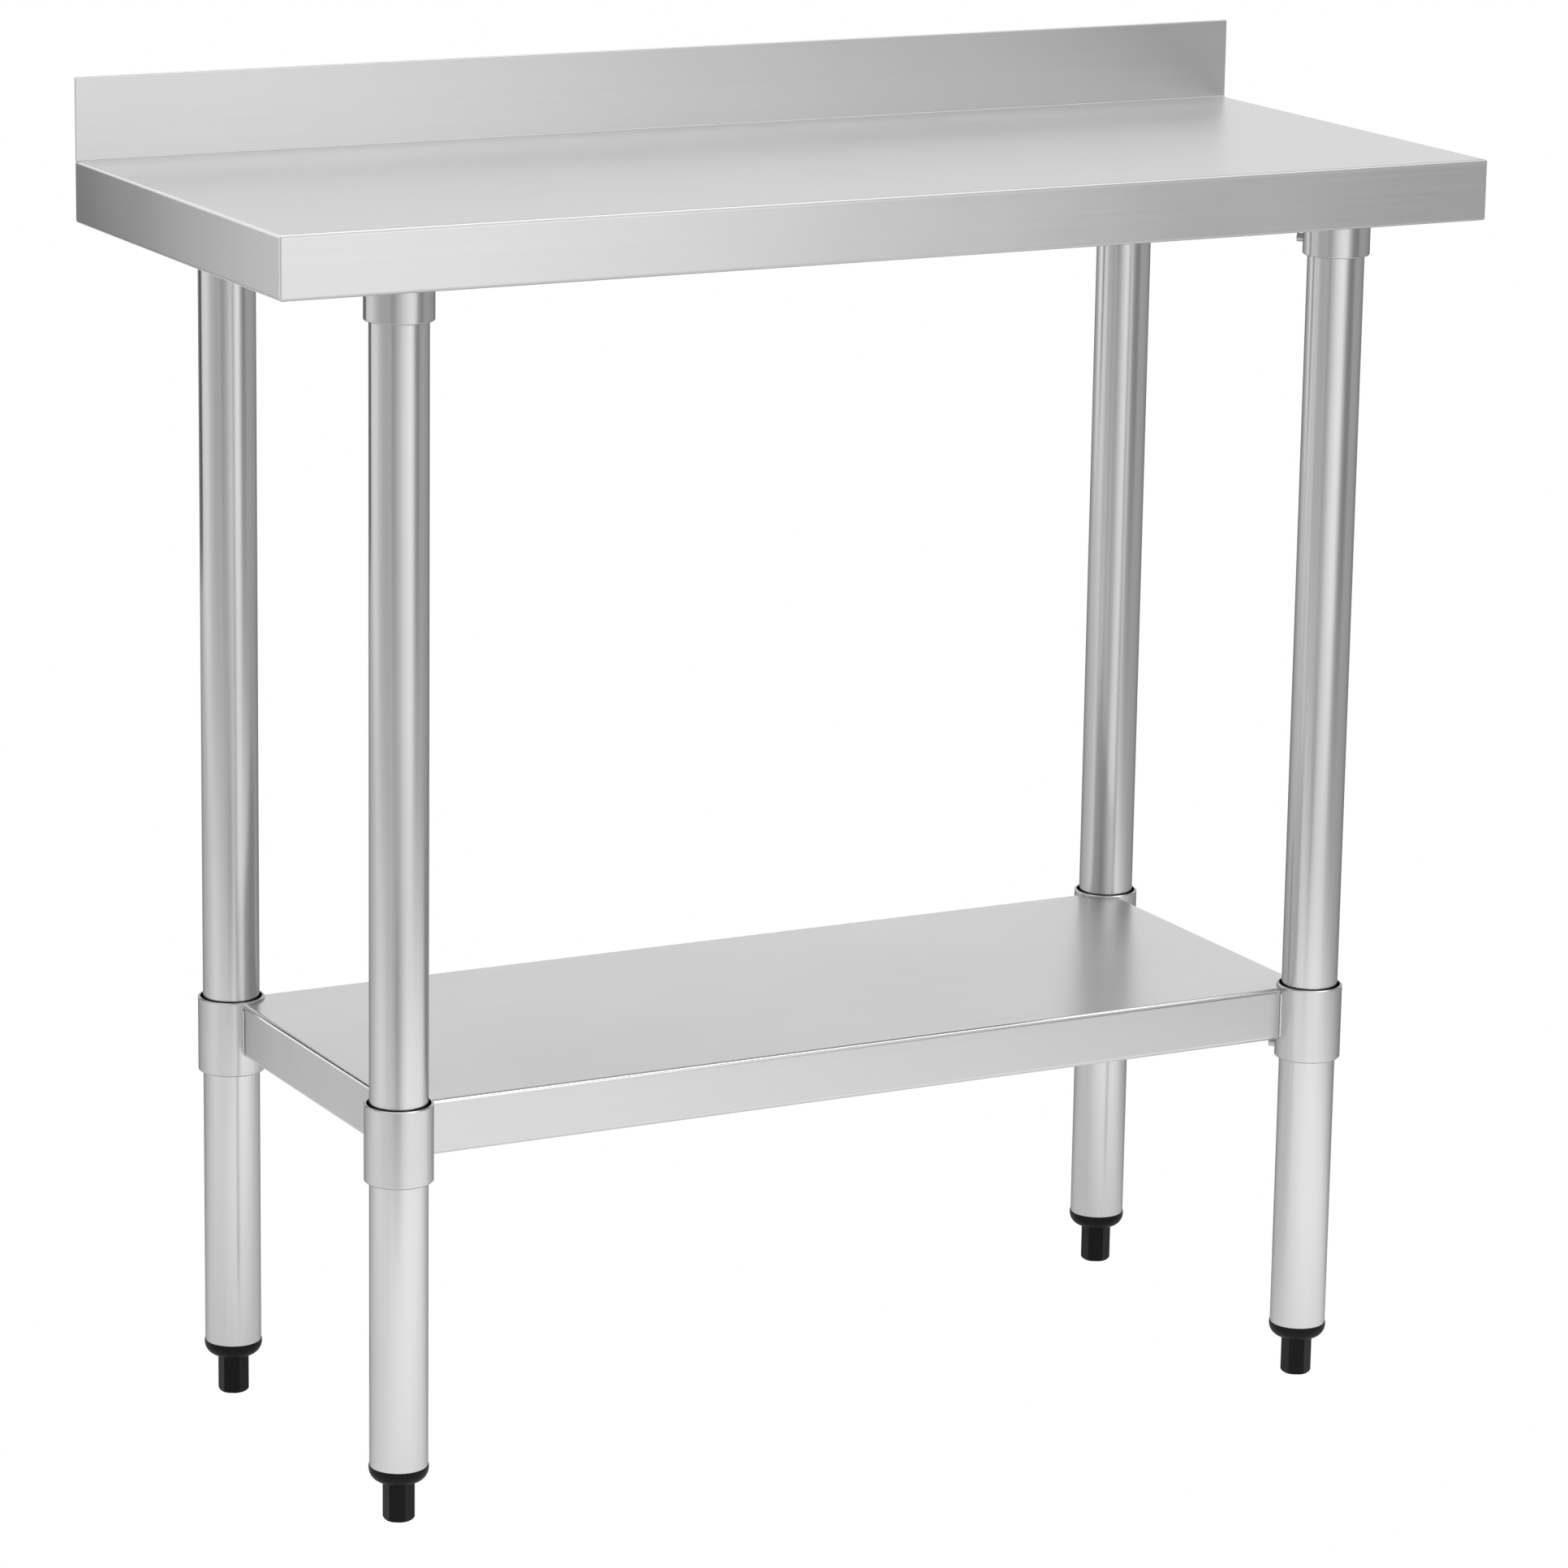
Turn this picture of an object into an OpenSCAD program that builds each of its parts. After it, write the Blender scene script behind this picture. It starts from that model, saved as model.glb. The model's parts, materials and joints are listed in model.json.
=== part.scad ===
// Free-standing stainless work table: folded worktop with a rear upstand,
// four round legs, a height-adjustable undershelf and screw-out levelling feet.
// Units are millimetres. +X runs along the width, +Y to the rear, +Z up.
// The origin is on the floor under the centre of the table's outline.

/* [Overall] */
// width of the worktop, side to side
table_w = 914.4; // [700:0.1:1500]
// depth of the worktop, front edge to the back of the upstand
table_d = 355.6; // [300:0.1:600]
// height of the work surface above the floor
work_h = 889; // [800:1:950]
// height of the upstand above the work surface
upstand_h = 57; // [30:1:150]

/* [Worktop] */
// depth of the turned-down edge, seen from the front
edge_drop = 43; // [35:1:60]
// thickness of the worktop sheet
top_t = 1.2; // [0.8:0.1:2]
// width of the lip returned under the turned-down edge
top_lip = 12; // [8:1:12]
// outside radius of the worktop's bends
top_bend_r = 2.5; // [2.5:0.1:4]
// outside radius of the worktop's welded upright corners
top_corner_r = 1.6; // [1.5:0.1:3]
// height of the hem folded down behind the upstand
hem_h = 12; // [8:1:20]
// how far the ends of the hem are set in from the sides
hem_relief = 2; // [1:0.5:5]

/* [Channels] */
// width of the flat bottom of a worktop channel
channel_web = 60; // [50:1:70]
// width of each brim of a worktop channel
channel_brim = 20; // [16:1:24]
// depth of a worktop channel below the sheet
channel_depth = 25; // [15:1:30]
// width of the top flange of the rear apron
apron_flange = 15; // [10:1:20]
// height of the hem folded up inside the apron's lower edge
apron_hem = 12; // [8:1:20]
// depth of the shelf's stiffening channel
shelf_channel_depth = 20; // [12:1:25]

/* [Legs] */
// outside diameter of a leg tube
leg_od = 40; // [38:0.1:42]
// wall thickness of a leg tube
leg_wall = 1.2; // [1:0.1:1.5]
// side of the worktop to a leg's axis
leg_inset_side = 99.2; // [80:0.1:150]
// front of the worktop to a front leg's axis
leg_inset_front = 37; // [35:0.1:60]
// rear of the worktop to a rear leg's axis
leg_inset_rear = 28.6; // [28:0.1:60]
// outside diameter of a leg socket
socket_od = 47; // [46.5:0.1:50]
// how far a leg socket shows below the turned-down edge
socket_show = 23; // [15:1:30]

/* [Undershelf] */
// height of the shelf surface above the floor, as set at rest
shelf_h = 292; // [270:1:330]
// depth of the shelf's turned-down edge
shelf_drop = 38; // [32:1:40]
// thickness of the shelf sheet
shelf_t = 1; // [0.8:0.1:1.5]
// width of the lip returned under the shelf's edge
shelf_lip = 12; // [8:1:16]
// outside radius of the shelf's bends
shelf_bend_r = 3; // [2:0.1:4]
// outside diameter of a shelf sleeve
sleeve_od = 47; // [46.5:0.1:52]
// height of a shelf sleeve
sleeve_len = 54; // [50:1:60]
// how far a sleeve stands above the shelf surface
sleeve_rise = 2; // [1:0.5:4]

/* [Feet] */
// height of a leg tube's lower end above the floor
leg_clear = 38.5; // [38:0.1:45]
// height of a foot's black cap below the tube
cap_h = 11; // [10:0.1:12]
// distance across the flats of a foot
foot_af = 19; // [18:0.1:21]
// diameter of a foot's threaded stem
stem_d = 10; // [8:1:12]
// pitch of the stem's thread
stem_pitch = 1.5; // [1:0.25:2]
// depth of the cap's insert inside the leg tube
insert_len = 30; // [28:1:50]

/* [Fasteners] */
// diameter of a socket or sleeve set screw
set_screw_d = 6; // [5:1:8]
// length of a set screw
set_screw_len = 8; // [7:0.5:10]
// diameter of the studs welded under the worktop
stud_d = 6; // [5:1:6]
// length of a welded stud
stud_len = 14; // [10:1:20]

/* [Hidden] */

$fn = 64;
// allowance by which a cutter passes through a face
cut = 1;

// colours of the finished surfaces
steel = [0.80, 0.81, 0.82];
tube_steel = [0.74, 0.75, 0.76];
zinc = [0.62, 0.63, 0.65];
black = [0.09, 0.09, 0.10];

// signs naming a corner: side along X, end along Y
left = -1;
right = 1;
front = -1;
rear = 1;

// leg axes
leg_x = table_w / 2 - leg_inset_side;
front_leg_y = -table_d / 2 + leg_inset_front;
rear_leg_y = table_d / 2 - leg_inset_rear;
legs_mid_y = (front_leg_y + rear_leg_y) / 2;
function leg_y(end) = end == front ? front_leg_y : rear_leg_y;

// worktop levels and planes
edge_z = work_h - edge_drop;
under_z = work_h - top_t;
back_y = table_d / 2 - top_t;
bend_y = back_y - top_bend_r;
hem_bend_z = work_h + upstand_h - top_t;

// channels: lengths and the level of their flat bottoms
channel_floor_z = under_z - channel_depth;
channel_half = channel_web / 2 + channel_brim;
channel_gap = 6;
side_channel_front = -table_d / 2 + top_t + channel_gap;
side_channel_rear = back_y - apron_flange - channel_gap;
side_channel_len = side_channel_rear - side_channel_front;
side_channel_y = (side_channel_front + side_channel_rear) / 2;
centre_channel_len = 2 * (leg_x - channel_half - 2);

// studs sit on the middle of the channel brims
stud_off = channel_web / 2 + channel_brim / 2;
side_stud_inset = 40;
side_stud_y = side_channel_len / 2 - side_stud_inset;
centre_stud_x = centre_channel_len / 2 - side_stud_inset;
stud_hole_r = stud_d / 2 + 0.3;
nut_af = 10;
nut_h = 5;
nut_flange_r = 7;
nut_flange_h = 1.2;
thread_clear = 0.05;

// leg socket
socket_z = edge_z - socket_show;
socket_ceiling = 3;
socket_slip = 0.15;
socket_chamfer = 0.6;
socket_screw_z = socket_z + 10;
leg_top_z = channel_floor_z - socket_ceiling - 1;

// shelf and sleeves
shelf_w = 2 * leg_x;
shelf_d = rear_leg_y - front_leg_y;
sleeve_top_z = shelf_h + sleeve_rise;
sleeve_z = sleeve_top_z - sleeve_len;
sleeve_slip = 0.3;
sleeve_chamfer = 0.7;
sleeve_mouth = 1.6;
sleeve_mouth_depth = 6;
shelf_screw_z = sleeve_z + 7;
shelf_channel_brim = 15;
shelf_channel_web = 50;
shelf_channel_len = shelf_w - 2 * shelf_t - 4;

// foot
insert_z = leg_clear - cap_h;
insert_rim_r = leg_od / 2 + 0.5;
cap_round_r = cap_h - 1.6;
insert_body_r = leg_od / 2 - leg_wall - 0.45;
rib_h = 2;
rib_step = 6;
rib_count = 4;
foot_gap = 0.3;
foot_top_z = insert_z - foot_gap;
foot_corner_r = foot_af / 2 / cos(30);
foot_chamfer = 1.2;
stem_z = 8;
stem_top_z = insert_z + 44;
stem_tip = 1;
thread_depth = 0.61 * stem_pitch;
thread_count = floor((stem_top_z - stem_tip - foot_top_z) / stem_pitch);

// set screw key recess
key_af = set_screw_d / 2;
key_depth = 3;

// ---------- shared shapes ----------

// rectangle centred on the origin with all four corners rounded
module round_rect(w, d, r) {
    square([w - 2 * r, d], center = true);
    square([w, d - 2 * r], center = true);
    for (x = [-1, 1], y = [-1, 1])
        translate([x * (w / 2 - r), y * (d / 2 - r)])
            circle(r);
}

// block standing on z = 0, its upright edges rounded to corner_r and the rest to r
module round_block(w, d, h, r, corner_r) {
    translate([0, 0, h / 2])
        intersection() {
            linear_extrude(h + cut, center = true)
                round_rect(w, d, corner_r);
            rotate([90, 0, 0])
                linear_extrude(d + cut, center = true)
                    round_rect(w, h, r);
            rotate([90, 0, 90])
                linear_extrude(w + cut, center = true)
                    round_rect(d, h, r);
        }
}

// sheet folded down on four sides with a lip returned inwards, standing on z = 0
module folded_pan(w, d, h, t, r, corner_r, lip) {
    difference() {
        round_block(w, d, h, r, corner_r);
        translate([0, 0, t])
            round_block(w - 2 * t, d - 2 * t, h - 2 * t, r - t, corner_r - t);
        translate([0, 0, t / 2])
            cube([w - 2 * lip, d - 2 * lip, 2 * t], center = true);
    }
}

// hat-section channel along X: brims at z = 0, flat bottom at z = -depth
module hat_channel(len, web, brim, depth, t) {
    rotate([90, 0, 90])
        linear_extrude(len, center = true) {
            for (s = [-1, 1]) {
                translate([s * (web + brim) / 2, -t / 2])
                    square([brim, t], center = true);
                translate([s * (web - t) / 2, -depth / 2])
                    square([t, depth], center = true);
            }
            translate([0, -depth + t / 2])
                square([web, t], center = true);
        }
}

// straight tube with a square-cut end
module tube(outer_r, inner_r, len) {
    linear_extrude(len)
        difference() {
            circle(outer_r);
            circle(inner_r);
        }
}

// moves its children to a leg axis
module at_leg(side, end, z) {
    translate([side * leg_x, leg_y(end), z])
        children();
}

// set screw lying along X: flat point at x = 0, key recess at the far end
module set_screw() {
    rotate([0, 90, 0])
        difference() {
            union() {
                cylinder(h = 1, r1 = set_screw_d / 2 - 0.8, r2 = set_screw_d / 2);
                translate([0, 0, 1])
                    cylinder(h = set_screw_len - 1, d = set_screw_d);
            }
            translate([0, 0, set_screw_len - key_depth])
                cylinder(h = key_depth + cut, r = key_af / 2 / cos(30), $fn = 6);
        }
}

// turns its children so that +X points diagonally inwards from a leg
module facing_in(side, end) {
    rotate([0, 0, atan2(-end, -side)])
        children();
}

// stud positions: four on each side channel, four on the centre channel
module at_studs(z) {
    for (side = [left, right], edge = [-1, 1], end = [front, rear])
        translate([
            side * leg_x + edge * stud_off,
            side_channel_y + end * side_stud_y,
            z
        ])
            children();
    for (x = [-1, 1], edge = [-1, 1])
        translate([x * centre_stud_x, legs_mid_y + edge * stud_off, z])
            children();
}

// ---------- worktop ----------

// section of the bend and upstand, drawn with Y across and Z up
module upstand_section() {
    intersection() {
        translate([bend_y, under_z + top_bend_r])
            difference() {
                circle(top_bend_r);
                circle(top_bend_r - top_t);
            }
        translate([bend_y, under_z])
            square(top_bend_r);
    }
    translate([back_y - top_t, under_z + top_bend_r])
        square([top_t, hem_bend_z - under_z - top_bend_r]);
    translate([back_y - top_t, hem_bend_z])
        hem_bend_quarter();
}

// section of the hem behind the upstand
module hem_section() {
    translate([back_y, work_h + upstand_h - hem_h])
        square([top_t, hem_h - top_t]);
    translate([back_y + top_t, hem_bend_z])
        mirror([1, 0])
            hem_bend_quarter();
}

// quarter disc of the sheet's thickness, round towards its origin's top
module hem_bend_quarter() {
    intersection() {
        translate([top_t, 0])
            circle(top_t);
        square(top_t);
    }
}

// folded sheet without its upstand: open to the rear, lips on three sides
module worktop_tray() {
    // the pan is folded longer than the table and cut off at the back plane
    spare = 30;
    difference() {
        translate([0, spare / 2, edge_z])
            folded_pan(table_w, table_d + spare, edge_drop, top_t, top_bend_r,
                top_corner_r, top_lip);
        // everything behind the back plane
        translate([-table_w / 2 - cut, back_y, edge_z - cut])
            cube([table_w + 2 * cut, 2 * spare, edge_drop + 2 * cut]);
        // the surface stops where the bend of the upstand starts
        translate([-table_w / 2 + top_t, bend_y, under_z - cut])
            cube([table_w - 2 * top_t, 2 * spare, top_t + 2 * cut]);
        // the side lips stop short of the rear apron
        translate([-table_w / 2 + top_t, back_y - top_lip - cut, edge_z - cut])
            cube([table_w - 2 * top_t, 2 * spare, top_t + 2 * cut]);
    }
}

module worktop_sheet() {
    color(steel) {
        worktop_tray();
        rotate([90, 0, 90]) {
            linear_extrude(table_w, center = true)
                upstand_section();
            linear_extrude(table_w - 2 * hem_relief, center = true)
                hem_section();
        }
    }
}

// folded angle closing the rear below the upstand, hemmed to clear the rear sockets
module rear_apron() {
    len = table_w - 2 * top_bend_r - 1;
    web_h = under_z - edge_z;
    color(steel)
        rotate([90, 0, 90])
            linear_extrude(len, center = true) {
                translate([back_y - top_t, edge_z])
                    square([top_t, web_h]);
                translate([back_y - apron_flange, under_z - top_t])
                    square([apron_flange, top_t]);
                translate([back_y - 2 * top_t, edge_z])
                    square([top_t, apron_hem]);
            }
}

// clearance holes for the welded studs
module stud_holes() {
    at_studs(under_z - 2 * top_t)
        cylinder(h = 3 * top_t, r = stud_hole_r);
}

module side_channel(side) {
    color(steel)
        difference() {
            translate([side * leg_x, side_channel_y, under_z])
                rotate([0, 0, 90])
                    hat_channel(side_channel_len, channel_web, channel_brim,
                        channel_depth, top_t);
            stud_holes();
        }
}

module centre_channel() {
    color(steel)
        difference() {
            translate([0, legs_mid_y, under_z])
                hat_channel(centre_channel_len, channel_web, channel_brim,
                    channel_depth, top_t);
            stud_holes();
        }
}

module weld_studs() {
    color(zinc)
        at_studs(under_z - stud_len)
            cylinder(h = stud_len, d = stud_d);
}

module flange_nut() {
    difference() {
        union() {
            cylinder(h = nut_h, r = nut_af / 2 / cos(30), $fn = 6);
            translate([0, 0, nut_h - nut_flange_h])
                cylinder(h = nut_flange_h, r = nut_flange_r);
        }
        translate([0, 0, -cut])
            cylinder(h = nut_h + 2 * cut, r = stud_d / 2 + thread_clear);
    }
}

module stud_nuts() {
    color(zinc)
        at_studs(under_z - top_t - nut_h)
            flange_nut();
}

// ---------- legs ----------

// cup holding a leg, welded under a side channel
module leg_socket(side, end) {
    outer_r = socket_od / 2;
    inner_r = leg_od / 2 + socket_slip;
    h = channel_floor_z - socket_z;
    color(tube_steel)
        difference() {
            at_leg(side, end, socket_z)
                rotate_extrude()
                    polygon([
                        [0, h],
                        [0, h - socket_ceiling],
                        [inner_r, h - socket_ceiling],
                        [inner_r, 0],
                        [outer_r - socket_chamfer, 0],
                        [outer_r, socket_chamfer],
                        [outer_r, h]
                    ]);
            set_screw_hole(side, end, socket_screw_z);
        }
}

// tapped hole from the inner face of a socket or sleeve to the leg
module set_screw_hole(side, end, z) {
    at_leg(side, end, z)
        facing_in(side, end)
            translate([leg_od / 2 - cut, 0, 0])
                rotate([0, 90, 0])
                    cylinder(h = set_screw_len, r = set_screw_d / 2 + thread_clear);
}

module fitted_set_screw(side, end, z) {
    color(zinc)
        at_leg(side, end, z)
            facing_in(side, end)
                translate([leg_od / 2, 0, 0])
                    set_screw();
}

module socket_screws() {
    for (side = [left, right], end = [front, rear])
        fitted_set_screw(side, end, socket_screw_z);
}

module leg_tube(side, end) {
    color(tube_steel)
        at_leg(side, end, leg_clear)
            tube(leg_od / 2, leg_od / 2 - leg_wall, leg_top_z - leg_clear);
}

// ---------- feet ----------

// black cap under the tube with a ribbed plug pressed into it
module foot_insert(side, end) {
    color(black)
        at_leg(side, end, insert_z)
            difference() {
                union() {
                    rotate_extrude()
                        insert_cap_section();
                    translate([0, 0, cap_h])
                        cylinder(h = insert_len, r = insert_body_r);
                    for (i = [0 : rib_count - 1])
                        translate([0, 0, cap_h + 3 + i * rib_step])
                            cylinder(h = rib_h, r = leg_od / 2 - leg_wall);
                }
                translate([0, 0, -cut])
                    cylinder(h = cap_h + insert_len + 2 * cut,
                        r = stem_d / 2 + thread_clear);
            }
}

// half section of the rounded cap, axis on the left
module insert_cap_section() {
    shoulder_r = insert_rim_r - cap_round_r;
    square([shoulder_r, cap_h]);
    translate([0, cap_round_r])
        square([insert_rim_r, cap_h - cap_round_r]);
    translate([shoulder_r, cap_round_r])
        intersection() {
            circle(cap_round_r);
            translate([0, -cap_round_r])
                square(cap_round_r);
        }
}

// half section of one turn of the stem's thread
module thread_turn_section() {
    core_r = stem_d / 2 - thread_depth;
    polygon([
        [0, 0],
        [core_r, 0],
        [stem_d / 2, stem_pitch * 0.4],
        [stem_d / 2, stem_pitch * 0.6],
        [core_r, stem_pitch],
        [0, stem_pitch]
    ]);
}

// threaded stud standing in the foot and running up into the insert
module foot_stem(side, end) {
    thread_z = stem_top_z - stem_tip - thread_count * stem_pitch;
    core_r = stem_d / 2 - thread_depth;
    color(zinc)
        at_leg(side, end, 0) {
            translate([0, 0, stem_z])
                cylinder(h = thread_z - stem_z, d = stem_d);
            translate([0, 0, thread_z])
                rotate_extrude()
                    for (i = [0 : thread_count - 1])
                        translate([0, i * stem_pitch])
                            thread_turn_section();
            translate([0, 0, stem_top_z - stem_tip])
                cylinder(h = stem_tip, r1 = core_r, r2 = core_r - stem_tip / 2);
        }
}

// six-sided foot with a bevelled end
module foot(side, end) {
    color(black)
        at_leg(side, end, 0)
            difference() {
                intersection() {
                    rotate([0, 0, 30])
                        cylinder(h = foot_top_z, r = foot_corner_r, $fn = 6);
                    union() {
                        cylinder(h = foot_chamfer, r1 = foot_corner_r - foot_chamfer,
                            r2 = foot_corner_r);
                        translate([0, 0, foot_chamfer])
                            cylinder(h = foot_top_z, r = foot_corner_r + cut);
                    }
                }
                translate([0, 0, stem_z])
                    cylinder(h = foot_top_z, r = stem_d / 2 + thread_clear);
            }
}

// ---------- undershelf ----------

// folded pan with its corners cut out round the sleeves
module shelf_pan() {
    color(steel)
        difference() {
            translate([0, legs_mid_y, shelf_h - shelf_drop])
                folded_pan(shelf_w, shelf_d, shelf_drop, shelf_t, shelf_bend_r,
                    shelf_bend_r, shelf_lip);
            for (side = [left, right], end = [front, rear])
                at_leg(side, end, shelf_h - shelf_drop - cut)
                    cylinder(h = shelf_drop + 2 * cut, d = sleeve_od);
        }
}

module shelf_channel() {
    color(steel)
        translate([0, legs_mid_y, shelf_h - shelf_t])
            hat_channel(shelf_channel_len, shelf_channel_web, shelf_channel_brim,
                shelf_channel_depth, shelf_t);
}

// collar sliding on a leg, welded to a corner of the shelf
module shelf_sleeve(side, end) {
    outer_r = sleeve_od / 2;
    inner_r = leg_od / 2 + sleeve_slip;
    color(tube_steel)
        difference() {
            at_leg(side, end, sleeve_z)
                rotate_extrude()
                    polygon([
                        [inner_r, 0],
                        [outer_r - sleeve_chamfer, 0],
                        [outer_r, sleeve_chamfer],
                        [outer_r, sleeve_len - sleeve_chamfer],
                        [outer_r - sleeve_chamfer, sleeve_len],
                        [inner_r + sleeve_mouth, sleeve_len],
                        [inner_r + sleeve_mouth, sleeve_len - sleeve_mouth_depth],
                        [inner_r, sleeve_len - sleeve_mouth_depth - sleeve_mouth]
                    ]);
            set_screw_hole(side, end, shelf_screw_z);
        }
}

module shelf_screw(side, end) {
    fitted_set_screw(side, end, shelf_screw_z);
}

// ---------- assembly ----------

worktop_sheet();
rear_apron();
side_channel(left);  // channel_left
side_channel(right);  // channel_right
centre_channel();  // channel_centre
weld_studs();
stud_nuts();
leg_socket(left, front);  // socket_fl
leg_socket(right, front);  // socket_fr
leg_socket(left, rear);  // socket_rl
leg_socket(right, rear);  // socket_rr
socket_screws();
leg_tube(left, front);  // leg_fl
leg_tube(right, front);  // leg_fr
leg_tube(left, rear);  // leg_rl
leg_tube(right, rear);  // leg_rr
foot_insert(left, front);  // foot_insert_fl
foot_insert(right, front);  // foot_insert_fr
foot_insert(left, rear);  // foot_insert_rl
foot_insert(right, rear);  // foot_insert_rr
foot_stem(left, front);  // foot_stem_fl
foot_stem(right, front);  // foot_stem_fr
foot_stem(left, rear);  // foot_stem_rl
foot_stem(right, rear);  // foot_stem_rr
foot(left, front);  // foot_fl
foot(right, front);  // foot_fr
foot(left, rear);  // foot_rl
foot(right, rear);  // foot_rr
shelf_pan();
shelf_channel();
shelf_sleeve(left, front);  // sleeve_fl
shelf_sleeve(right, front);  // sleeve_fr
shelf_sleeve(left, rear);  // sleeve_rl
shelf_sleeve(right, rear);  // sleeve_rr
shelf_screw(left, front);  // shelf_screw_fl
shelf_screw(right, front);  // shelf_screw_fr
shelf_screw(left, rear);  // shelf_screw_rl
shelf_screw(right, rear);  // shelf_screw_rr
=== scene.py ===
"""Looks, light and camera for the stainless work table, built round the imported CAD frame."""
import json
import math

import bmesh
import bpy
from mathutils import Matrix, Vector


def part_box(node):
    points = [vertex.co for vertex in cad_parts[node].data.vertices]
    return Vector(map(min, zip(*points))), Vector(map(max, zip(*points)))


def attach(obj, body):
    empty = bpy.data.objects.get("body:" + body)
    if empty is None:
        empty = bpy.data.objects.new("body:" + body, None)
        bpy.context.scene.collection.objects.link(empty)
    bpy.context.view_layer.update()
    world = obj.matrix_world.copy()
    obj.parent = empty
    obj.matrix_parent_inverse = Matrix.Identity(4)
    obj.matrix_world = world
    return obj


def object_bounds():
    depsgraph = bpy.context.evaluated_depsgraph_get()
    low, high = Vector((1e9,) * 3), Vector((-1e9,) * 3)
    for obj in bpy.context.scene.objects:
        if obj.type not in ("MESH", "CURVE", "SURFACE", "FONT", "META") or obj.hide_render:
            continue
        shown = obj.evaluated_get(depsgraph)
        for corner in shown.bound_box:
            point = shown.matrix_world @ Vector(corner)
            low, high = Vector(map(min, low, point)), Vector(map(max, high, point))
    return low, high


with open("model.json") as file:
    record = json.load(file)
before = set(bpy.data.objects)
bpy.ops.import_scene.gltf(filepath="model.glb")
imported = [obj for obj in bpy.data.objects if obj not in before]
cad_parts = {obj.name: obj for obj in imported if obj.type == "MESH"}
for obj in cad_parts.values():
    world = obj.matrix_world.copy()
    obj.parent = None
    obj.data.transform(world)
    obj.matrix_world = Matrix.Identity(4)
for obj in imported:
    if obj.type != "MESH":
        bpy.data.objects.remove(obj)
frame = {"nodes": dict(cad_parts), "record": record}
cad_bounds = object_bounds()

LOW, HIGH = cad_bounds
CENTRE = (LOW + HIGH) / 2
CORNERS = ("fl", "fr", "rl", "rr")

WHITE = (1.0, 1.0, 1.0, 1.0)
STEEL_TINT = (1.0, 1.0, 1.004)
STRAW_TINT = (1.0, 0.93, 0.80, 1.0)

# surface detail, in metres
SHARP_EDGE_RADIUS = 0.0004
STEEL_RELIEF = 0.00005
PLASTIC_RELIEF = 0.0001

# steel sheet: tone of the mottle as a share of the mean, the largest part of the normal on a
# face and on a bend, and the tone of the bends at the table's ends, lifted as a painted highlight
MOTTLE = (0.985, 1.015)
FACE_AND_BEND_NORMAL = (0.995, 0.97)
END_BEND_PAINTED_HIGHLIGHT = 1.25

# painted shade in narrow gaps: how far walls count, the openness from shut to clear, tone when shut
GAP_REACH = 0.004
GAP_OPENNESS = (0.3, 0.6)
GAP_PAINTED_SHADE_TONE = 0.03

# weld beads, in metres: radius, length of one ripple and of one step along the bead
BEAD_RADIUS = 0.0011
BEAD_RIPPLE = 0.0012
BEAD_STEP = 0.0003
BEAD_SIDES = 8

# shares of a bead's radius: the ripple, an open end, and the growth from there in each step
BEAD_WAVE = 0.16
BEAD_END = 0.45
BEAD_GROWTH = 0.2

# pool of light on the floor: its brightness, where 1 is white, and its place, in metres from
# the middle of the table; the radii are where it starts to fade and where it has faded
POOL_FRONT = 1.15
POOL_REAR = 0.78
POOL_FRONT_TO_REAR_Y = (-0.60, 0.05)
POOL_CENTRE = (0.05, -0.55)
POOL_RADII = (0.75, 1.45)

# the floor outside the pool; the left is brighter beside the table than elsewhere
FLOOR_LEFT_BESIDE = 0.95
FLOOR_LEFT_ELSEWHERE = 0.60
FLOOR_RIGHT = 0.46
FLOOR_LEFT_TO_RIGHT_X = (-1.0, 0.8)
BESIDE_SPREAD = 0.65

# shading of the floor under the table, and a dark patch at its front left
UNDER_TABLE_SHADE = 0.87
UNDER_TABLE_CENTRE = (0.0, 0.15)
UNDER_TABLE_SPREAD = (0.5, 0.3)
PATCH = 0.05
PATCH_CENTRE = (-0.97, -1.28)
PATCH_SPREAD = (0.33, 0.33)

# brightness of the room, where 1 is white: the back wall has a dim left end, and a bright
# strip over all but its right
WALLS = 0.36
BACK_WALL = 1.12
BACK_LEFT_END = 0.24
BACK_STRIP = 0.96
CEILING = 1.0
CEILING_LAMP = 2.56

# where those parts fade in or out, as x, y or z of a unit vector from the table
BACK_WALL_Y = (0.2, 0.6)
BACK_WALL_TOP_Z = (0.36, 0.52)
BACK_LEFT_END_X = (-0.42, -0.25)
BACK_LEFT_END_TOP_Z = (0.25, 0.4)
BACK_STRIP_X = (0.05, 0.2)
BACK_STRIP_Z = 0.5
BACK_STRIP_SPREAD = 0.12
CEILING_Z = (0.74, 0.86)
LAMP_X = 0.45
LAMP_SPREAD = 0.2

# front soft box: its brightness at the peak and away from it, and how many times brighter it
# gets with height, from the left to the right; places and spreads are in metres
FRONT_PEAK = 1.12
FRONT_ELSEWHERE = 0.23
FRONT_PEAK_X = 0.40
FRONT_SPREAD = (1.8, 0.55)
FRONT_RISE = (1.05, 3.2)
FRONT_RISE_X = (0.1, 1.3)
FRONT_RISE_Z = (0.75, 1.4)

# left soft box, dim at the front; soft box at the rear left, and the dark flag before it
LEFT_PEAK = 0.92
LEFT_ELSEWHERE = 0.5
LEFT_PEAK_Y = 1.0
LEFT_SPREAD = (0.8, 6.0)
REAR_LEFT_FILL = 1.12
REAR_LEFT_FLAG = 0.04


# ---------- node helpers ----------

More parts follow.
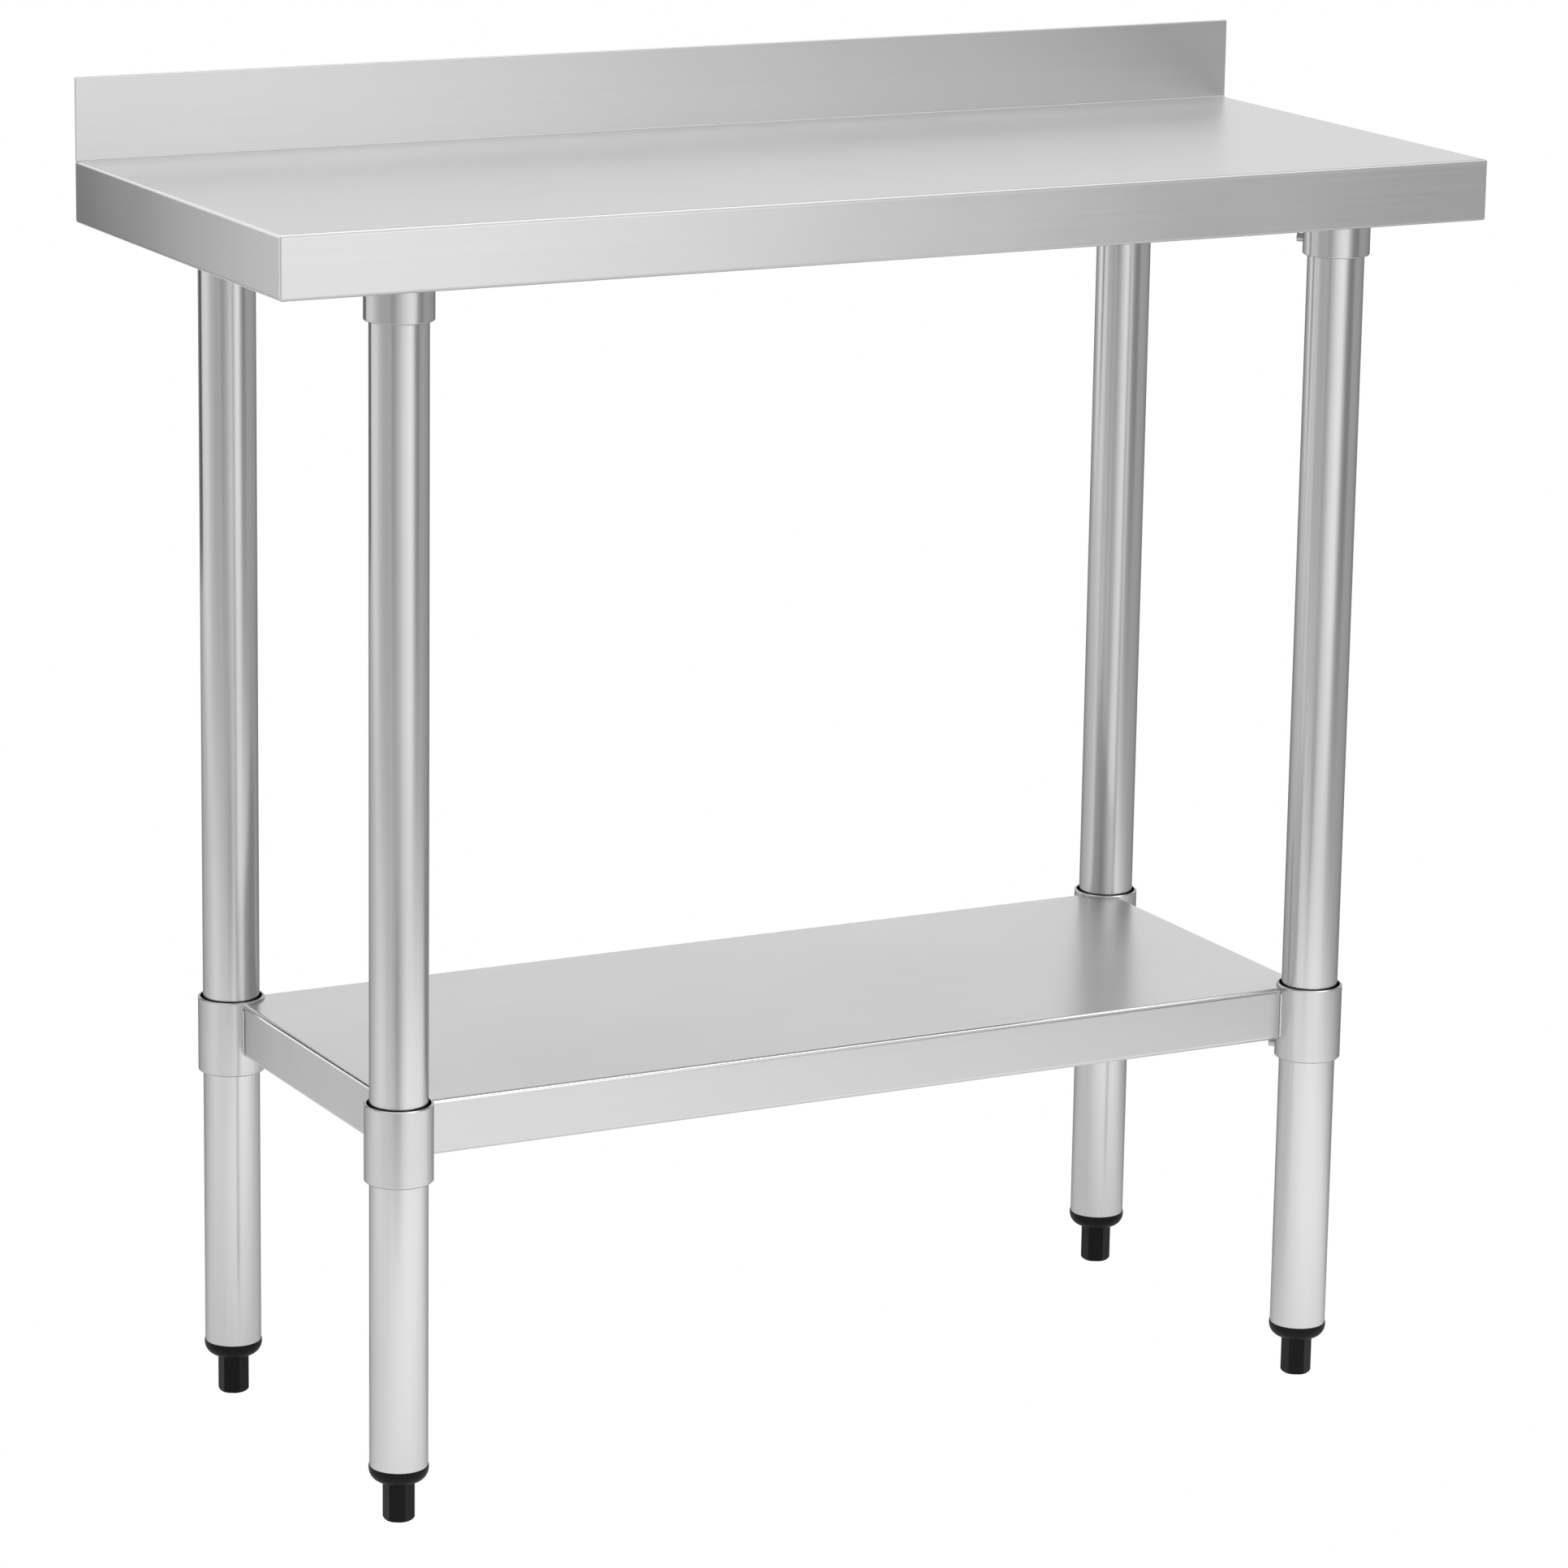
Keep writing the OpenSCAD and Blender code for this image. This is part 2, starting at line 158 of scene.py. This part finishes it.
class Nodes:
    """Short forms for building a material's node tree."""

    def __init__(self, tree):
        self.tree = tree
        tree.nodes.clear()

    def add(self, kind, **settings):
        node = self.tree.nodes.new(kind)
        for name, value in settings.items():
            setattr(node, name, value)
        return node

    def link(self, source, target):
        self.tree.links.new(source, target)

    def feed(self, socket, value):
        """Links an output to the socket, or sets a plain value on it."""
        if isinstance(value, bpy.types.NodeSocket):
            self.link(value, socket)
        else:
            socket.default_value = value

    def math(self, operation, a, b=0.0):
        node = self.add("ShaderNodeMath", operation=operation)
        self.feed(node.inputs[0], a)
        self.feed(node.inputs[1], b)
        return node.outputs[0]

    def times(self, a, b):
        return self.math("MULTIPLY", a, b)

    def remap(self, value, low, high, to_low, to_high):
        """Straight-line change from to_low to to_high, held level outside low to high."""
        node = self.add("ShaderNodeMapRange")
        for socket, item in zip(node.inputs, (value, low, high, to_low, to_high)):
            self.feed(socket, item)
        return node.outputs[0]

    def vary(self, noise, to_low, to_high):
        """Noise stretched to run from to_low to to_high over most of its range."""
        return self.remap(noise, 0.3, 0.7, to_low, to_high)

    def blend(self, factor, a, b):
        node = self.add("ShaderNodeMix", data_type="FLOAT")
        self.feed(node.inputs[0], factor)
        self.feed(node.inputs[2], a)
        self.feed(node.inputs[3], b)
        return node.outputs[0]

    def blend_colour(self, factor, a, b, how="MIX"):
        node = self.add("ShaderNodeMix", data_type="RGBA", blend_type=how)
        self.feed(node.inputs[0], factor)
        self.feed(node.inputs[6], a)
        self.feed(node.inputs[7], b)
        return node.outputs[2]

    def split(self, vector):
        node = self.add("ShaderNodeSeparateXYZ")
        self.link(vector, node.inputs[0])
        return node.outputs[0], node.outputs[1], node.outputs[2]

    def noise(self, vector, scale, detail=2.0, roughness=0.5):
        node = self.add("ShaderNodeTexNoise")
        self.feed(node.inputs["Vector"], vector)
        node.inputs["Scale"].default_value = scale
        node.inputs["Detail"].default_value = detail
        node.inputs["Roughness"].default_value = roughness
        return node.outputs["Fac"]

    def stretched(self, vector, scale):
        node = self.add("ShaderNodeMapping")
        self.feed(node.inputs["Vector"], vector)
        node.inputs["Scale"].default_value = scale
        return node.outputs["Vector"]

    def geometry(self, name):
        return self.add("ShaderNodeNewGeometry").outputs[name]

    def object_coords(self):
        return self.add("ShaderNodeTexCoord").outputs["Object"]

    def to_camera(self):
        """1 for what the camera sees directly, 0 for reflections and shading."""
        return self.add("ShaderNodeLightPath").outputs["Is Camera Ray"]

    def lobe(self, value, centre, low_spread, high_spread):
        """Bell curve of value: 1 at the centre, about a third one spread to either side."""
        offset = self.math("SUBTRACT", value, centre)
        below = self.math("DIVIDE", self.math("MINIMUM", offset, 0.0), low_spread)
        above = self.math("DIVIDE", self.math("MAXIMUM", offset, 0.0), high_spread)
        away = self.math("ADD", below, above)
        return self.math("POWER", math.e, self.times(self.times(away, away), -1.0))

    def spot(self, x, y, centre, spread):
        """Bell curve over the plan, 1 at the centre, with its own spread along x and y."""
        return self.times(self.lobe(x, centre[0], spread[0], spread[0]),
                          self.lobe(y, centre[1], spread[1], spread[1]))

    def relief(self, height, strength, depth, edge_radius):
        """Surface normal with the height as fine relief and with softened sharp edges."""
        bevel = self.add("ShaderNodeBevel", samples=4)
        bevel.inputs["Radius"].default_value = edge_radius
        bump = self.add("ShaderNodeBump")
        bump.inputs["Strength"].default_value = strength
        bump.inputs["Distance"].default_value = depth
        self.link(height, bump.inputs["Height"])
        self.link(bevel.outputs["Normal"], bump.inputs["Normal"])
        return bump.outputs["Normal"]

    def choose(self, factor, shader, other):
        """The first shader where factor is 0, the other where it is 1."""
        node = self.add("ShaderNodeMixShader")
        self.link(factor, node.inputs[0])
        self.link(shader.outputs[0], node.inputs[1])
        self.link(other.outputs[0], node.inputs[2])
        return node

    def finish(self, shader):
        output = self.add("ShaderNodeOutputMaterial")
        self.link(shader.outputs[0], output.inputs["Surface"])


def new_material(name):
    material = bpy.data.materials.new(name)
    material.use_nodes = True
    return material, Nodes(material.node_tree)


# ---------- materials ----------

def steel_shader(n, tone, roughness, height, bump_strength, edge_radius=SHARP_EDGE_RADIUS):
    """Bare steel: tone darkened in narrow gaps as painted shade, fine relief, softened sharp edges.
    """
    gap = n.add("ShaderNodeAmbientOcclusion", samples=8)
    gap.inputs["Distance"].default_value = GAP_REACH
    # painted shade: the tone darkens where nearby walls close in
    tone = n.times(tone, n.remap(gap.outputs["AO"], *GAP_OPENNESS, GAP_PAINTED_SHADE_TONE, 1.0))
    colour = n.add("ShaderNodeCombineColor")
    for channel, tint in zip(colour.inputs, STEEL_TINT):
        n.feed(channel, n.times(tone, tint))
    shader = n.add("ShaderNodeBsdfPrincipled")
    shader.inputs["Metallic"].default_value = 1.0
    n.link(colour.outputs[0], shader.inputs["Base Color"])
    n.link(roughness, shader.inputs["Roughness"])
    n.link(n.relief(height, bump_strength, STEEL_RELIEF, edge_radius), shader.inputs["Normal"])
    return shader


def brushed_sheet(name, shade, roughness, bend_roughness, bend_painted_shade):
    """Stainless sheet with a fine grain along its length, a faint mottle, and burnished bends with
    painted light on them.
    """
    material, n = new_material(name)
    coords = n.object_coords()
    lines = n.noise(n.stretched(coords, (4.0, 900.0, 900.0)), scale=1.0, detail=3.0, roughness=0.6)
    long_lines = n.noise(n.stretched(coords, (1.2, 260.0, 260.0)), scale=1.0)
    mottle = n.noise(coords, scale=9.0, detail=4.0, roughness=0.55)
    tone = n.remap(n.math("ADD", lines, long_lines), 0.7, 1.3, shade * 0.985, shade * 1.015)
    tone = n.times(tone, n.vary(mottle, *MOTTLE))
    bend = bend_mask(n)
    # painted light on the bends: painted shade on the long bends where their shade is below 1, a
    # painted highlight on the end bends
    tone = n.times(tone, n.blend(bend, 1.0, bend_painted_light(n, bend_painted_shade)))
    flat = n.math("ADD", n.remap(lines, 0.25, 0.75, roughness - 0.03, roughness + 0.03),
                  n.vary(mottle, -0.015, 0.015))
    shader = steel_shader(n, tone, n.blend(bend, flat, bend_roughness), lines, bump_strength=0.05)
    shader.inputs["Anisotropic"].default_value = 0.55
    n.link(grain_tangent(n), shader.inputs["Tangent"])
    n.finish(shader)
    return material


def bend_mask(n):
    """1 where the surface turns between two faces of a fold, 0 on the faces."""
    x, y, z = (n.math("ABSOLUTE", part) for part in n.split(n.geometry("Normal")))
    largest = n.math("MAXIMUM", x, n.math("MAXIMUM", y, z))
    return n.remap(largest, *FACE_AND_BEND_NORMAL, 0.0, 1.0)


def bend_painted_light(n, long_bend_painted_shade):
    """Painted light on a bend: the given tone, as painted shade, on bends along the width; a
    painted highlight on the others.
    """
    sideways = n.math("ABSOLUTE", n.split(n.geometry("Normal"))[0])
    return n.remap(sideways, 0.1, 0.3, long_bend_painted_shade, END_BEND_PAINTED_HIGHLIGHT)


def grain_tangent(n):
    """Direction in the surface, across the grain: upright on walls, front to back on flats."""
    normal = n.geometry("Normal")
    sideways = n.math("GREATER_THAN", n.math("ABSOLUTE", n.split(normal)[0]), 0.7)
    grain = n.add("ShaderNodeCombineXYZ")
    n.feed(grain.inputs[0], n.math("SUBTRACT", 1.0, sideways))
    n.feed(grain.inputs[1], sideways)
    across = n.add("ShaderNodeVectorMath", operation="CROSS_PRODUCT")
    n.link(normal, across.inputs[0])
    n.link(grain.outputs[0], across.inputs[1])
    return across.outputs[0]


def drawn_tube(name, shade, roughness, streaks):
    """Semi-bright tube with faint draw lines along its length, scaled by streaks."""
    material, n = new_material(name)
    coords = n.object_coords()
    draw = n.noise(n.stretched(coords, (420.0, 420.0, 3.0)), scale=1.0, detail=3.0, roughness=0.6)
    mottle = n.noise(coords, scale=14.0, detail=4.0, roughness=0.55)
    spread = 0.015 * streaks
    tone = n.vary(draw, shade * (1 - spread), shade * (1 + spread))
    tone = n.times(tone, n.vary(mottle, *MOTTLE))
    rough = n.vary(draw, roughness - spread, roughness + spread)
    shader = steel_shader(n, tone, rough, draw, bump_strength=0.03 * streaks)
    shader.inputs["Specular Tint"].default_value = (0.5, 0.5, 0.5, 1.0)
    n.finish(shader)
    return material


def weld_metal(name):
    """Rippled bead left bright by cleaning, with a faint straw tint in patches."""
    material, n = new_material(name)
    coords = n.object_coords()
    spatter = n.noise(coords, scale=900.0, detail=3.0, roughness=0.6)
    patches = n.noise(coords, scale=60.0)
    shader = steel_shader(n, n.vary(spatter, 0.70, 0.88), n.vary(spatter, 0.22, 0.38), spatter,
                          bump_strength=0.2, edge_radius=SHARP_EDGE_RADIUS / 2)
    colour = shader.inputs["Base Color"].links[0].from_socket
    warm = n.blend_colour(n.remap(patches, 0.45, 0.7, 0.0, 0.35), colour, STRAW_TINT, "MULTIPLY")
    n.link(warm, shader.inputs["Base Color"])
    n.finish(shader)
    return material


def zinc_plate(name):
    """Bright zinc with a slightly cloudy surface."""
    material, n = new_material(name)
    cloud = n.noise(n.object_coords(), scale=350.0, detail=3.0, roughness=0.6)
    n.finish(steel_shader(n, n.vary(cloud, 0.48, 0.60), n.vary(cloud, 0.25, 0.42), cloud,
                          bump_strength=0.05, edge_radius=SHARP_EDGE_RADIUS * 0.75))
    return material


def moulded_plastic(name):
    """Black moulded plastic with a fine spark-eroded grain."""
    material, n = new_material(name)
    coords = n.object_coords()
    grain = n.noise(coords, scale=2200.0, roughness=0.6)
    patches = n.noise(coords, scale=60.0, detail=3.0)
    shader = n.add("ShaderNodeBsdfPrincipled")
    n.link(n.blend_colour(patches, (0.006, 0.006, 0.006, 1), (0.010, 0.010, 0.010, 1)),
           shader.inputs["Base Color"])
    shader.inputs["Specular IOR Level"].default_value = 0.12
    n.link(n.vary(grain, 0.40, 0.52), shader.inputs["Roughness"])
    n.link(n.relief(grain, 0.15, PLASTIC_RELIEF, SHARP_EDGE_RADIUS * 1.25), shader.inputs["Normal"])
    n.finish(shader)
    return material


def paint_frame():
    """Every CAD node takes the material of its slot in the record."""
    finishes = {
        # the worktop's long bends are darkened as painted shade
        "worktop_steel": brushed_sheet("worktop_steel", shade=0.715, roughness=0.38,
                                       bend_roughness=0.34, bend_painted_shade=0.78),
        "shelf_steel": brushed_sheet("shelf_steel", shade=0.665, roughness=0.31,
                                     bend_roughness=0.16, bend_painted_shade=1.0),
        "channel_steel": brushed_sheet("channel_steel", shade=0.50, roughness=0.42,
                                       bend_roughness=0.35, bend_painted_shade=1.0),
        "tube_steel": drawn_tube("tube_steel", shade=0.68, roughness=0.23, streaks=1.0),
        "socket_steel": drawn_tube("socket_steel", shade=0.65, roughness=0.25, streaks=0.1),
        "zinc_fasteners": zinc_plate("zinc_fasteners"),
        "black_plastic": moulded_plastic("black_plastic"),
    }
    for part in frame["record"]["subparts"]:
        node = frame["nodes"][part["node"]]
        node.data.materials.clear()
        node.data.materials.append(finishes[part["material_slot"]])


# ---------- weld beads ----------

def bead_ring(mesh, point, along, outward, radius):
    """Ring of vertices round a point, square to the bead, its first vertex outward."""
    up = (outward - along * along.dot(outward)).normalized()
    side = along.cross(up)
    angles = (2 * math.pi * k / BEAD_SIDES for k in range(BEAD_SIDES))
    return [mesh.verts.new(point + (up * math.cos(a) + side * math.sin(a)) * radius)
            for a in angles]


def join_rings(mesh, rings, closed):
    """Faces between each ring and the next, and over both ends of an open bead."""
    count = len(rings)
    for i in range(count if closed else count - 1):
        ring, following = rings[i], rings[(i + 1) % count]
        for k in range(BEAD_SIDES):
            after = (k + 1) % BEAD_SIDES
            mesh.faces.new((ring[k], ring[after], following[after], following[k]))
    if not closed:
        mesh.faces.new(reversed(rings[0]))
        mesh.faces.new(rings[-1])


def sweep_bead(mesh, points, outward, closed):
    """Adds a rippled bead along the points; an open bead tapers at its ends."""
    rings = []
    count = len(points)
    for i, point in enumerate(points):
        after = points[(i + 1) % count if closed else min(i + 1, count - 1)]
        before = points[i - 1 if closed else max(i - 1, 0)]
        along = (after - before).normalized()
        taper = 1.0 if closed else min(1.0, BEAD_END + BEAD_GROWTH * min(i, count - 1 - i))
        wave = 1.0 + BEAD_WAVE * math.sin(2 * math.pi * i * BEAD_STEP / BEAD_RIPPLE)
        rings.append(bead_ring(mesh, point, along, outward[i], BEAD_RADIUS * taper * wave))
    join_rings(mesh, rings, closed)


def upright_bead(mesh, x, y, low, high, outward):
    count = int((high - low) / BEAD_STEP)
    points = [Vector((x, y, low + (high - low) * i / count)) for i in range(count + 1)]
    sweep_bead(mesh, points, [outward] * len(points), closed=False)


def arc_bead(mesh, centre, radius, start, turn):
    """Bead on an arc about an upright axis; a full turn closes on itself."""
    closed = abs(turn) >= 2 * math.pi
    ripples = round(abs(turn) * radius / BEAD_RIPPLE)
    count = ripples * round(BEAD_RIPPLE / BEAD_STEP)
    outward = []
    for i in range(count if closed else count + 1):
        angle = start + turn * i / count
        outward.append(Vector((math.cos(angle), math.sin(angle), 0)))
    sweep_bead(mesh, [centre + ray * radius for ray in outward], outward, closed)


def finish_bead(name, mesh, body, material):
    bmesh.ops.recalc_face_normals(mesh, faces=mesh.faces)
    data = bpy.data.meshes.new(name)
    mesh.to_mesh(data)
    mesh.free()
    data.shade_smooth()
    data.materials.append(material)
    piece = bpy.data.objects.new(name, data)
    bpy.context.collection.objects.link(piece)
    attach(piece, body)


def weld_sleeve(corner, material):
    """Beads where a sleeve meets the shelf: up both skirts and round under the sheet."""
    low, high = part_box("sleeve_" + corner)
    pan_low, pan_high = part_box("shelf_pan")
    axis = (low + high) / 2
    radius = (high.x - low.x) / 2
    inward_x = -math.copysign(1.0, axis.x)
    inward_y = -math.copysign(1.0, axis.y)
    proud = BEAD_RADIUS * 0.35
    bottom = pan_low.z + 2 * BEAD_RADIUS
    top = pan_high.z - 3 * BEAD_RADIUS
    mesh = bmesh.new()
    upright_bead(mesh, axis.x + inward_x * radius, axis.y - inward_y * proud, bottom, top,
                 Vector((inward_x, -inward_y, 0)))
    upright_bead(mesh, axis.x - inward_x * proud, axis.y + inward_y * radius, bottom, top,
                 Vector((-inward_x, inward_y, 0)))
    under = Vector((axis.x, axis.y, pan_high.z - 2 * BEAD_RADIUS))
    first = 0.0 if inward_x > 0 else math.pi
    turn = math.radians(70) * inward_x * inward_y
    clear = math.radians(10) * inward_x * inward_y
    arc_bead(mesh, under, radius, first + clear, turn)
    finish_bead("weld_sleeve_" + corner, mesh, "shelf", material)


def weld_socket(corner, material):
    """Bead round the top of a socket, under its channel."""
    low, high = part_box("socket_" + corner)
    centre = (low + high) / 2
    centre.z = high.z - BEAD_RADIUS
    mesh = bmesh.new()
    arc_bead(mesh, centre, (high.x - low.x) / 2, 0.0, 2 * math.pi)
    finish_bead("weld_socket_" + corner, mesh, "table", material)


def build_welds():
    material = weld_metal("weld_metal")
    for corner in CORNERS:
        weld_sleeve(corner, material)
        weld_socket(corner, material)


# ---------- studio ----------

def flat_card(name, centre, width, height, facing):
    """Rectangle of the given size, centred at a point and facing a direction."""
    mesh = bpy.data.meshes.new(name)
    w, h = width / 2, height / 2
    mesh.from_pydata([(-w, -h, 0), (w, -h, 0), (w, h, 0), (-w, h, 0)], [], [(0, 1, 2, 3)])
    card = bpy.data.objects.new(name, mesh)
    bpy.context.collection.objects.link(card)
    card.location = centre
    card.rotation_mode = "QUATERNION"
    card.rotation_quaternion = Vector(facing).to_track_quat("Z", "Y")
    card.visible_camera = False
    card.visible_shadow = False
    return card


def glow(n, strength):
    light = n.add("ShaderNodeEmission")
    n.feed(light.inputs["Strength"], strength)
    return light


def front_glow():
    """Brightest a little right of the middle, and growing with height, most at the right."""
    material, n = new_material("front_glow")
    x, _, z = n.split(n.geometry("Position"))
    low = n.blend(n.lobe(x, FRONT_PEAK_X, *FRONT_SPREAD), FRONT_ELSEWHERE, FRONT_PEAK)
    rise = n.remap(x, *FRONT_RISE_X, *FRONT_RISE)
    n.finish(glow(n, n.times(low, n.remap(z, *FRONT_RISE_Z, 1.0, rise))))
    return material


def left_glow():
    """Dim at the front, brighter behind the table."""
    material, n = new_material("left_glow")
    _, y, _ = n.split(n.geometry("Position"))
    n.finish(glow(n, n.blend(n.lobe(y, LEFT_PEAK_Y, *LEFT_SPREAD), LEFT_ELSEWHERE, LEFT_PEAK)))
    return material


def even_glow(name, strength):
    material, n = new_material(name)
    n.finish(glow(n, strength))
    return material


def build_cards():
    """Soft boxes and a dark flag that only reflections and shading see."""
    front = flat_card("front_softbox", centre=(0.0, -1.95, 1.2), width=5.4, height=2.4,
                      facing=(0, 1, 0))
    front.data.materials.append(front_glow())
    left = flat_card("left_softbox", centre=(-2.1, 1.15, 1.0), width=4.7, height=2.0,
                     facing=(1, 0, 0))
    left.data.materials.append(left_glow())
    fill = flat_card("rear_left_softbox", centre=(-1.6, 2.2, 0.6), width=1.4, height=0.9,
                     facing=(0, -1, 0))
    fill.data.materials.append(even_glow("rear_left_glow", REAR_LEFT_FILL))
    flag = flat_card("rear_left_flag", centre=(-0.655, 0.74, 0.72), width=0.32, height=0.50,
                     facing=(0, -1, 0))
    flag.data.materials.append(even_glow("flag_glow", REAR_LEFT_FLAG))


def distance(n, x, y, centre):
    """Distance over the floor from the centre."""
    away_x = n.math("SUBTRACT", x, centre[0])
    away_y = n.math("SUBTRACT", y, centre[1])
    return n.math("SQRT", n.math("ADD", n.times(away_x, away_x), n.times(away_y, away_y)))


def floor_bounce(n):
    """Light off the floor: a bright pool in front, dimmer outside it and under the table."""
    x, y, _ = n.split(n.geometry("Position"))
    pool = n.remap(y, *POOL_FRONT_TO_REAR_Y, POOL_FRONT, POOL_REAR)
    beside = n.lobe(y, 0.0, BESIDE_SPREAD, BESIDE_SPREAD)
    left = n.blend(beside, FLOOR_LEFT_ELSEWHERE, FLOOR_LEFT_BESIDE)
    far = n.blend(n.remap(x, *FLOOR_LEFT_TO_RIGHT_X, 0.0, 1.0), left, FLOOR_RIGHT)
    outside = n.remap(distance(n, x, y, POOL_CENTRE), *POOL_RADII, 0.0, 1.0)
    level = n.blend(outside, pool, far)
    covered = n.spot(x, y, UNDER_TABLE_CENTRE, UNDER_TABLE_SPREAD)
    level = n.times(level, n.blend(covered, 1.0, UNDER_TABLE_SHADE))
    return glow(n, n.blend(n.spot(x, y, PATCH_CENTRE, PATCH_SPREAD), level, PATCH))


def foot_reach():
    """How far below the resting feet a foot gets when it is screwed right out."""
    joints = frame["record"]["behaviour"]["joints"]
    return max(joint["range_m"][1] for joint in joints if joint["name"].startswith("foot_travel"))


def build_floor():
    """Floor just under the feet's full reach: white to the camera above it, clear from below.

    Reflections and shading see a graded light instead.
    """
    floor = flat_card("floor", centre=(0, 0, LOW.z - foot_reach()), width=80.0, height=80.0,
                      facing=(0, 0, 1))
    floor.visible_camera = True
    material, n = new_material("floor_white")
    seen = n.choose(n.geometry("Backfacing"), glow(n, 1.0), n.add("ShaderNodeBsdfTransparent"))
    n.finish(n.choose(n.to_camera(), floor_bounce(n), seen))
    floor.data.materials.append(material)


def room_brightness(n):
    """Dim walls, a brighter back wall, and a bright ceiling with a lamp in it."""
    x, y, z = n.split(n.add("ShaderNodeTexCoord").outputs["Generated"])
    behind = n.remap(y, *BACK_WALL_Y, 0.0, 1.0)
    wall = n.times(behind, n.remap(z, *BACK_WALL_TOP_Z, 1.0, 0.0))
    level = n.blend(wall, WALLS, BACK_WALL)
    left_end = n.times(n.remap(x, *BACK_LEFT_END_X, 1.0, 0.0),
                       n.remap(z, *BACK_LEFT_END_TOP_Z, 1.0, 0.0))
    level = n.blend(n.times(behind, left_end), level, BACK_LEFT_END)
    strip = n.times(n.remap(x, *BACK_STRIP_X, 1.0, 0.0),
                    n.lobe(z, BACK_STRIP_Z, BACK_STRIP_SPREAD, BACK_STRIP_SPREAD))
    level = n.blend(n.times(behind, strip), level, BACK_STRIP)
    ceiling = n.blend(n.lobe(x, LAMP_X, LAMP_SPREAD, LAMP_SPREAD), CEILING, CEILING_LAMP)
    return n.blend(n.remap(z, *CEILING_Z, 0.0, 1.0), level, ceiling)


def build_world():
    """White to the camera; reflections and shading see the room."""
    world = bpy.data.worlds.new("studio")
    bpy.context.scene.world = world
    world.use_nodes = True
    n = Nodes(world.node_tree)
    back = n.add("ShaderNodeBackground")
    back.inputs["Color"].default_value = WHITE
    n.link(n.blend(n.to_camera(), room_brightness(n), 1.0), back.inputs["Strength"])
    output = n.add("ShaderNodeOutputWorld")
    n.link(back.outputs[0], output.inputs["Surface"])


# ---------- camera ----------

def build_camera():
    """Long lens from the front left, a little above the worktop, as in the photograph."""
    azimuth = math.radians(-27.71)
    elevation = math.radians(13.86)
    roll = math.radians(0.89)
    distance_to_aim = 4.429
    aim = CENTRE + Vector((-0.001, -0.007, -0.026))
    camera = bpy.data.objects.new("camera", bpy.data.cameras.new("camera"))
    bpy.context.collection.objects.link(camera)
    back = Vector((
        math.sin(azimuth) * math.cos(elevation),
        -math.cos(azimuth) * math.cos(elevation),
        math.sin(elevation),
    ))
    camera.location = aim + back * distance_to_aim
    camera.rotation_mode = "QUATERNION"
    level = (-back).to_track_quat("-Z", "Y").to_matrix()
    camera.rotation_quaternion = (level @ Matrix.Rotation(roll, 3, "Z")).to_quaternion()
    camera.data.sensor_width = 36.0
    camera.data.lens = 144.05
    camera.data.clip_end = 200.0
    bpy.context.scene.camera = camera


# ---------- assembly ----------

def main():
    paint_frame()
    build_welds()
    build_floor()
    build_world()
    build_cards()
    build_camera()
    bpy.context.scene.view_settings.view_transform = "Standard"


main()
